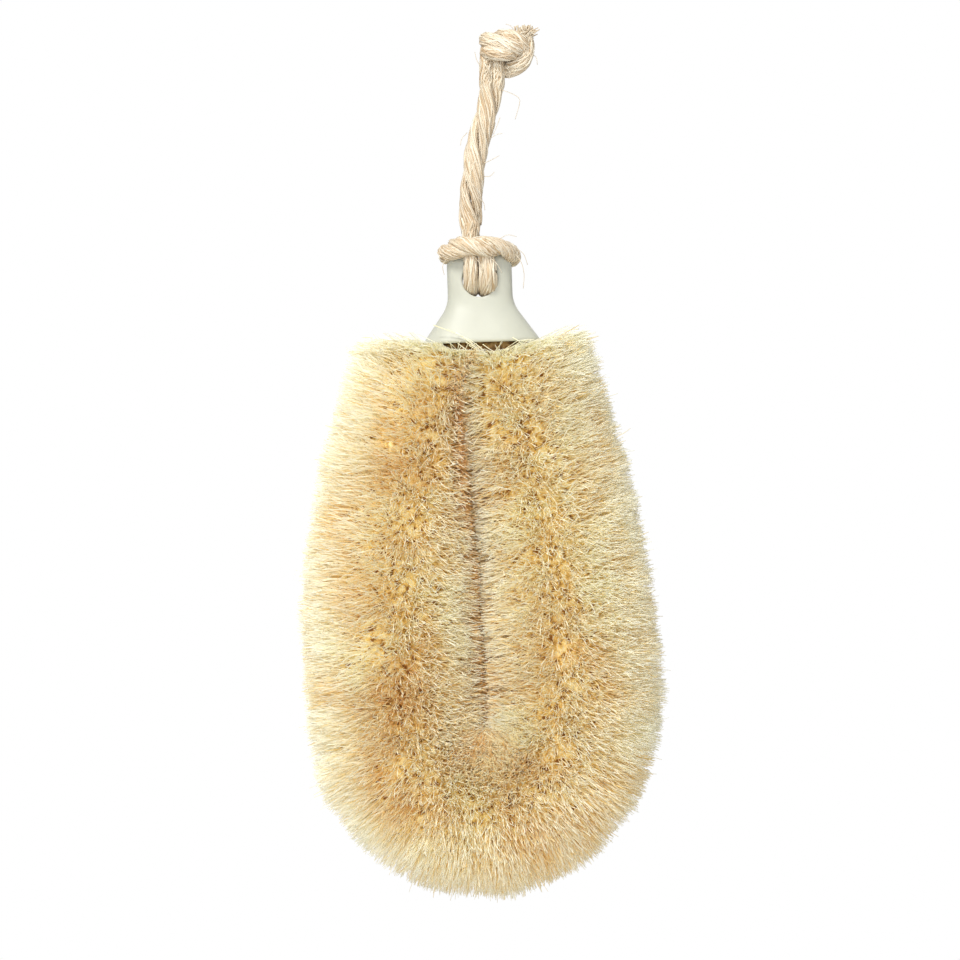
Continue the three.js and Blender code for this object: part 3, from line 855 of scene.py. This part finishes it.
def ring_mesh(name, rings):
    """A closed mesh through rings of points, given in millimetres, whose first and last rings close up."""
    count, sides = rings.shape[:2]
    index = np.arange(count * sides).reshape(count, sides)
    nxt = np.roll(index, -1, axis=1)
    quads = np.stack([index[:-1], nxt[:-1], nxt[1:], index[1:]], axis=-1).reshape(-1, 4).tolist()
    mesh = bpy.data.meshes.new(name)
    faces = quads + [index[0, ::-1].tolist(), index[-1].tolist()]
    mesh.from_pydata((rings.reshape(-1, 3) * MM).tolist(), [], faces)
    item = bpy.data.objects.new(name, mesh)
    bpy.context.scene.collection.objects.link(item)
    return item


def plastic(name, colour, roughness):
    """Moulded plastic with faint mottling in its colour."""
    material, nodes, links, shader = new_material(name)
    darker = tuple(c - 5 for c in colour)
    shade = mottle(nodes, links, 160, 3, [(0.35, darker), (0.65, colour)])
    links.new(shade, shader.inputs["Base Color"])
    shader.inputs["Roughness"].default_value = roughness
    return material


def steel():
    material, nodes, links, shader = new_material("drawn_steel")
    shade = mottle(nodes, links, 900, 2, [(0.3, (150, 152, 154)), (0.7, (192, 194, 196))])
    links.new(shade, shader.inputs["Base Color"])
    shader.inputs["Metallic"].default_value = 1
    shader.inputs["Roughness"].default_value = 0.35
    return material


def core_wires():
    """The two steel wires, wound round the line of the core."""
    finish = steel()
    length = np.linspace(0, core.length, WIRE_STEPS)
    flat, tangent = core.at(length), core.direction(length)
    turn = 2 * np.pi * length / TWIST_PITCH
    for name, phase in (("a", 0), ("b", math.pi)):
        side, through = WIRE_OFFSET * np.cos(phase + turn), WIRE_OFFSET * np.sin(phase + turn)
        line = [flat[:, 0] + side * tangent[:, 1], through, flat[:, 1] - side * tangent[:, 0]]
        line = in_frame(np.stack(line, axis=-1))[None]
        wire = Tubes().add_round(line, WIRE_RADIUS * np.ones((1, WIRE_STEPS)), 0.5, 10)
        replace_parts(wire.build(f"twisted_wire_{name}", finish, "brush", "core_steel"), f"core_wire_{name}")


def cap_and_core():
    cap_shell()
    core_wires()
    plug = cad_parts["cap_plug"]
    plug.data.materials.clear()
    plug.data.materials.append(plastic("plug_plastic", PLUG_COLOUR, 0.6))


# -------------------- fibre pile


def seam_x(z):
    """Where the two legs of the pile meet at a height."""
    heights = [-p[1] for p in SEAM]
    return np.interp(-z, heights, [p[0] for p in SEAM])


def cut_reach(root):
    """How far the fibres are cut from the core, by the height on the left and right leg."""
    left = np.interp(root[:, 2], *zip(*LEFT_REACH))
    right = np.interp(root[:, 2], *zip(*RIGHT_REACH))
    return np.where(root[:, 0] < 0, left, right)


def top_z(x, y):
    """The height of the pile's top edge. Behind the core it comes up to the cap."""
    before, behind = (np.interp(x, *zip(*edge)) for edge in (TOP_EDGE, TOP_EDGE_BEHIND))
    return np.where(y > 1, behind, before)


def nearest_tuft(place, lay, tuft_place, tuft_lay):
    """Each fibre's nearest tuft, by distance on the surface of the pile."""
    turn = np.abs(lay[:, None] - tuft_lay[None])
    turn = np.minimum(turn, 2 * np.pi - turn) * PILE_RADIUS * 0.7
    return np.argmin(turn**2 + (place[:, None] - tuft_place[None]) ** 2, axis=1)


def share_before_seam(root, reach):
    """How much of each fibre's reach lies on its own leg's side of the seam. The right leg laps over the left
    near the cap."""
    side = np.where(root[:, 0] < seam_x(root[:, 2]), -1, 1)
    clear = np.where(side < 0, LEFT_CLEAR, np.interp(root[:, 2], *zip(*RIGHT_CLEAR)))
    bottom = root[:, 2] < BEND_BOTTOM_ROOT_Z
    share = np.ones(len(root))
    for step in np.linspace(1, 0.2, 17):
        point = root + reach * step
        crossed = side * (point[:, 0] - seam_x(point[:, 2])) < clear
        risen = point[:, 2] > SEAM_BOTTOM_Z
        share = np.where(np.where(bottom, risen, crossed), step - 0.05, share)
    return share


def turned_at_seam(root, reach, turn):
    """Fibres that meet the other leg stop there. turn is how far each turns to the front or back instead."""
    share = share_before_seam(root, reach)
    met = share < 1
    length = np.linalg.norm(reach, axis=1)
    turned = reach.copy()
    turned[met, 0] *= share[met]
    turned[met, 2] *= share[met]
    flat = turned[:, 0] ** 2 + turned[:, 2] ** 2
    room = np.sqrt(np.maximum(length**2 - flat, 0)) * SEAM_TURN * turn
    depth = np.where(reach[:, 1] < 0, -1, 1) * np.maximum(np.abs(reach[:, 1]) * 0.97, room)
    turned[:, 1] = np.where(met, depth, reach[:, 1])
    return turned, met


def pressed_at_top(root, reach, slack):
    """Fibres that would rise past the top edge of the pile lie down under it instead, by the slack."""
    tip = root + reach
    limit = top_z(tip[:, 0], tip[:, 1]) - slack
    rise = np.minimum(reach[:, 2], limit - root[:, 2])
    pressed = reach[:, 2] > rise
    level = np.hypot(reach[:, 0], reach[:, 1])
    room = np.sqrt(np.maximum(np.sum(reach**2, axis=1) - rise**2, 1))
    spread = np.where(pressed, np.minimum(room / np.maximum(level, 1), 3), 1)
    return np.stack([reach[:, 0] * spread, reach[:, 1] * spread, rise], axis=1)


def roots(place, aim, lean):
    """Where fibres leave the core, and which way they head."""
    flat, run = core.at(place), core.direction(place)
    zeros = np.zeros(len(place))
    tangent = np.stack([run[:, 0], zeros, run[:, 1]], axis=1)
    outward = np.stack([run[:, 1], zeros, -run[:, 0]], axis=1)
    through = np.array([[0.0, 1.0, 0.0]])
    heading = unit(np.cos(aim)[:, None] * outward + np.sin(aim)[:, None] * through + lean[:, None] * tangent)
    return np.stack([flat[:, 0], zeros, flat[:, 1]], axis=1), heading


def fan_lean(place):
    """Near the two ends of the pile the fibres fan out towards the cap."""
    first, last = core.length_at_height(PILE_START_Z), core.length_at_height(PILE_START_Z, last=True)
    return FAN_LEAN * (np.exp((place - last) / FAN_LENGTH) - np.exp((first - place) / FAN_LENGTH))


def near_cap(place):
    """How near fibres are to the cap, from 0 to 1. The fibres there are the palest, a painted highlight where
    the combed fibres catch the light.
    """
    first, last = core.length_at_height(PILE_START_Z), core.length_at_height(PILE_START_Z, last=True)
    return np.exp((place - last) / RIGHT_PALE_LENGTH) + np.exp((first - place) / LEFT_PALE_LENGTH)


def packed_roots():
    """The fibres' roots, gathered round the wires where they go up into the cap, in its shade, coloured dark
    brown as painted shade.
    """
    rng = np.random.default_rng(91)
    angle = 2 * np.pi * np.arange(ROOTS_SIDES) / ROOTS_SIDES
    rings = []
    for share, z in ((0.1, -6), (0.9, -5.4), (1, -3), (1, -1), (0.9, 0.9), (0.1, 1.2)):
        out = share * (1 + rng.normal(0, 0.03, ROOTS_SIDES))
        x, y = ROOTS_HALF_WIDTH * out * np.cos(angle), ROOTS_HALF_DEPTH * out * np.sin(angle)
        rings.append(np.stack([ROOTS_X + x, y, z + 0 * angle], axis=-1))
    body = ring_mesh("packed_roots", in_frame(np.array(rings)))
    finish_packed(body, "roots_painted_shade", [(0.35, (84, 58, 30)), (0.5, (128, 94, 52)), (0.66, (196, 160, 104))])


def finish_packed(body, name, stops):
    """Fibres too close to tell apart, mottled between the given stops, whose dark browns are painted shade.
    """
    material, nodes, links, shader = new_material(name)
    links.new(mottle(nodes, links, 560, 4, stops), shader.inputs["Base Color"])
    shader.inputs["Roughness"].default_value = 0.8
    body.data.materials.append(material)
    body.data.polygons.foreach_set("use_smooth", np.ones(len(body.data.polygons), bool))
    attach(body, "brush")


def inner_pile(start, end):
    """The dense inner part of the pile, where the fibres lie too close to tell apart, as one body. Its colour
    is fibre colour with dark brown patches, painted shade in the gaps between fibres.
    """
    rng = np.random.default_rng(90)
    place = np.repeat(np.linspace(start, end, INNER_RINGS), INNER_SIDES)
    lay = np.tile(2 * np.pi * np.arange(INNER_SIDES) / INNER_SIDES, INNER_RINGS)
    root, heading = roots(place, lay, np.zeros(len(place)))
    reach = heading * cut_reach(root)[:, None]
    turn = np.where(root[:, 2] < BEND_BOTTOM_ROOT_Z, 0.5, 0.3)
    reach = pressed_at_top(root, turned_at_seam(root, reach, turn)[0], 1.5)
    length = np.linalg.norm(reach, axis=1)
    depth = INNER_DEPTH + rng.normal(0, INNER_ROUGHNESS, len(place))
    share = np.maximum(1 - depth / length, 0.15)
    inner = in_frame(root + reach * share[:, None]).reshape(INNER_RINGS, INNER_SIDES, 3)
    body = ring_mesh("pile_inner", inner)
    # Mottled fibre colour. The dark brown is painted shade, seen in the gaps between the fibres.
    stops = [(0.37, (134, 86, 28)), (0.5, (230, 196, 114)), (0.62, (250, 236, 182))]
    finish_packed(body, "packed_fibre_and_painted_shade", stops)


def even_points(rng, start, end, count):
    """Places along the core and directions round it, spread at random."""
    return rng.uniform(start, end, count), rng.uniform(0, 2 * np.pi, count)


def gathered(rng, start, end, density):
    """Fibres of one stretch of the core, by their place along it and direction round it, and their tufts."""
    count = int(FIBRES_PER_MM * density * (end - start))
    tufts = int(TUFTS_PER_MM * density * (end - start))
    clumps = max(3, int(CLUMPS_PER_MM * (end - start)))
    place, lay = even_points(rng, start, end, count)
    twist = 2 * np.pi * place / TWIST_PITCH
    lay = (lay - TWIST_GATHER * np.sin(2 * (lay - twist))) % (2 * np.pi)
    tuft_place, tuft_lay = even_points(rng, start, end, tufts)
    tuft = nearest_tuft(place, lay, tuft_place, tuft_lay)
    lean = rng.normal(0, TUFT_LEAN, tufts)[tuft]
    turn = rng.normal(0, TUFT_TURN, tufts)[tuft]
    taller = rng.normal(0, TUFT_UNEVEN, tufts)[tuft]
    clump = nearest_tuft(place, lay, *even_points(rng, start, end, clumps))
    # Spots: a few tufts sunk into the pile, whose deep tone is painted shade.
    spot = rng.random(tufts) < SPOT_SHARE
    taller = taller - SPOT_DEPTH * spot[tuft]
    paler = np.where(spot, SPOT_SHADE_TONE, rng.normal(0, TUFT_TONE_SPREAD, tufts))[tuft]
    paler = paler + rng.normal(0, CLUMP_TONE_SPREAD, clumps)[clump] * (1 - near_cap(place))
    taller = taller + rng.normal(0, CLUMP_UNEVEN, clumps)[clump]
    off = (tuft_lay[tuft] - lay + np.pi) % (2 * np.pi) - np.pi
    aim = lay + turn + GATHER * off + rng.normal(0, FIBRE_JITTER, count)
    lean = lean + GATHER * (tuft_place[tuft] - place) / PILE_RADIUS + rng.normal(0, FIBRE_JITTER, count)
    lean += fan_lean(place) * rng.random(count)
    # The ridge along the core's twist is taller, and its tone is paler on top and deeper in the troughs,
    # painted light and shade.
    ridge = RIDGE_HEIGHT * np.cos(2 * (lay - twist))
    return place, aim, lean, ridge, taller, paler + RIDGE_LIGHT_SHADE_TONE * ridge


def fibre_lengths(rng, root, taller):
    """Most fibres are cut at the pile's surface. Some end below it, and a few stand out of it."""
    count = len(root)
    length = cut_reach(root) + taller + rng.normal(0, CUT_UNEVEN, count)
    length *= np.where(rng.random(count) < SHORT_SHARE, rng.uniform(*SHORT_RANGE, count), 1)
    return length + np.where(rng.random(count) < LONG_SHARE, rng.uniform(*LONG_RANGE, count), 0)


def fibre_lines(rng, root, heading, length):
    """Points along each fibre, from its root to its tip, and whether it meets the other leg."""
    count = len(root)
    reach = heading * length[:, None]
    turned, met = turned_at_seam(root, reach, rng.random(count) ** 1.5)
    stray = rng.random(count) < STRAY_SHARE
    slack = np.where(stray, -STRAY_RISE * rng.random(count), np.abs(rng.normal(0, 0.5, count)))
    turned = pressed_at_top(root, turned, slack)
    root = root + CORE_CLEAR * unit(turned)
    tip = root + turned
    middle = root + 0.5 * turned + 0.32 * (0.5 * reach - 0.5 * turned) + rng.normal(0, FIBRE_BOW, (count, 3))
    middle[:, 2] = np.minimum(middle[:, 2], top_z(middle[:, 0], middle[:, 1]) + np.where(stray, 1.5, -0.3))
    bottom = root[:, 2] < BEND_BOTTOM_ROOT_Z
    widest = np.where(met & bottom, BEND_WANDER, np.where(met, MET_WANDER, TIP_WANDER))
    wander = rng.normal(0, 1, (count, 3)) * widest[:, None]
    wander -= heading * np.sum(wander * heading, axis=1, keepdims=True)
    steps = np.array(FIBRE_STEPS)[None, :, None]
    centres = (
        (1 - steps) ** 2 * root[:, None]
        + 2 * steps * (1 - steps) * (2 * middle - 0.5 * (root + tip))[:, None]
        + steps**2 * tip[:, None]
        + steps**3 * wander[:, None]
    )
    x, y, z = np.moveaxis(centres, -1, 0)
    z = np.minimum(z, top_z(x, y) + np.where(stray, STRAY_RISE, 0.4)[:, None])
    under_cap = np.abs(x) < BASE_HALF_WIDTH + 0.6
    centres[..., 2] = np.where(under_cap, np.minimum(z, math.tan(CAP_TILT) * x - 0.5), z)
    return centres, root, met


def bundle(number, start, end, density):
    """The fibres of one stretch of the core. Fibres that meet the seam or lie in the hollow inside the bend
    get deeper tones, painted shade, and those near the cap paler ones, a painted highlight.
    """
    rng = np.random.default_rng(100 + number)
    place, aim, lean, ridge, taller, paler = gathered(rng, start, end, density)
    count = len(place)
    root, heading = roots(place, aim, lean)
    length = fibre_lengths(rng, root, ridge + taller)
    centres, root, met = fibre_lines(rng, root, heading, length)
    thickness = rng.uniform(*FIBRE_RADII, count)[:, None] * np.array(FIBRE_TAPER)[None]
    cap_nearness = near_cap(place)
    dark = rng.random(count) < DARK_SHARE * np.exp(-8 * paler) * (1 - 0.8 * cap_nearness)
    tone = BASE_TONE + (1 - BASE_TONE) * cap_nearness + 0.5 * paler + rng.normal(0, 0.12, count)
    tone = np.where(dark, rng.uniform(0.02, 0.5, count), tone)
    # Painted shade: fibres in the hollow inside the bend, and those that meet the seam from the left (under)
    # and the right (over), get deeper tones.
    bottom = root[:, 2] < BEND_BOTTOM_ROOT_Z
    inside = bottom & (heading[:, 2] > rng.uniform(0.05, 0.45, count))
    under = met & ~inside & (root[:, 0] < seam_x(root[:, 2])) & (root[:, 2] < SEAM_TOP_Z)
    over = met & ~inside & ~under
    for chosen, share in ((inside, BEND_HOLLOW_SHADE_TONE), (under, SEAM_UNDER_SHADE_TONE), (over, SEAM_OVER_SHADE_TONE)):
        tone = np.where(chosen, share * tone, tone)
    tone = np.clip(tone, 0.01, 0.99)
    free = ~met & ~inside
    # Painted highlight: free fibres near the cap take only the palest part of the colour ramp.
    palest_near_cap = free & (cap_nearness > rng.uniform(0.25, 0.6, count))
    # How far along the colour ramp each group runs. The inside, over and under groups keep deep root colours
    # at their tips as painted shade, and the palest group near the cap takes only the palest part, a painted
    # highlight.
    groups = (
        (free & ~palest_near_cap, (0, 1)),
        (palest_near_cap, (0.66, 0.8)),
        (inside, (0.7, 0.3)),
        (over, (0, 0.55)),
        (under, (0.6, 0)),
    )
    made = Tubes()
    for chosen, along in groups:
        if np.any(chosen):
            made.add_round(in_frame(centres[chosen]), thickness[chosen], tone[chosen], along=along)
    piece = made.build(f"pile_bundle_{number:02d}", palm_fibre, "brush", "fibre", smooth=False)
    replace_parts(piece, f"bristle_bundle_{number:02d}")


def pile():
    """The whole pile, one bundle after the other, up to the cap on both sides."""
    left_top = core.length_at_height(PILE_START_Z)
    left_end = core.length_at_height(BEND_START_Z)
    right_start = core.length_at_height(BEND_START_Z, last=True)
    right_top = core.length_at_height(PILE_START_Z, last=True)
    inner_pile(left_top, right_top)
    packed_roots()
    strays = [in_frame(np.array(points, float)) for points in STRAY_BRISTLES]
    loose_hairs("stray_bristles", "brush", strays, STRAY_BRISTLE_RADIUS, palm_fibre, "fibre", 0.86)
    left = np.linspace(left_top, left_end, BUNDLES_PER_LEG + 1)
    bend = np.linspace(left_end, right_start, BUNDLES_IN_BEND + 1)
    right = np.linspace(right_start, right_top, BUNDLES_PER_LEG + 1)
    number = 1
    for edges, density in ((left, 1), (bend, BEND_DENSITY), (right, 1)):
        for start, end in zip(edges, edges[1:]):
            bundle(number, start, end, density)
            number += 1


camera()
knot = end_knot()
knot.append(loose_hairs("knot_hairs", "hang_knot", KNOT_HAIRS))
leg_hairs = loose_hairs("leg_hairs", "cord_legs", LEG_HAIRS)
cord_leg("cord_leg_left", "cord_leg_a", -math.pi / 2, 71)
cord_leg("cord_leg_right", "cord_leg_b", math.pi / 2, 72)
hitch()
loose_hairs("hitch_hairs", "brush", HITCH_HAIRS)
studio()
floor()
cap_and_core()
pile()
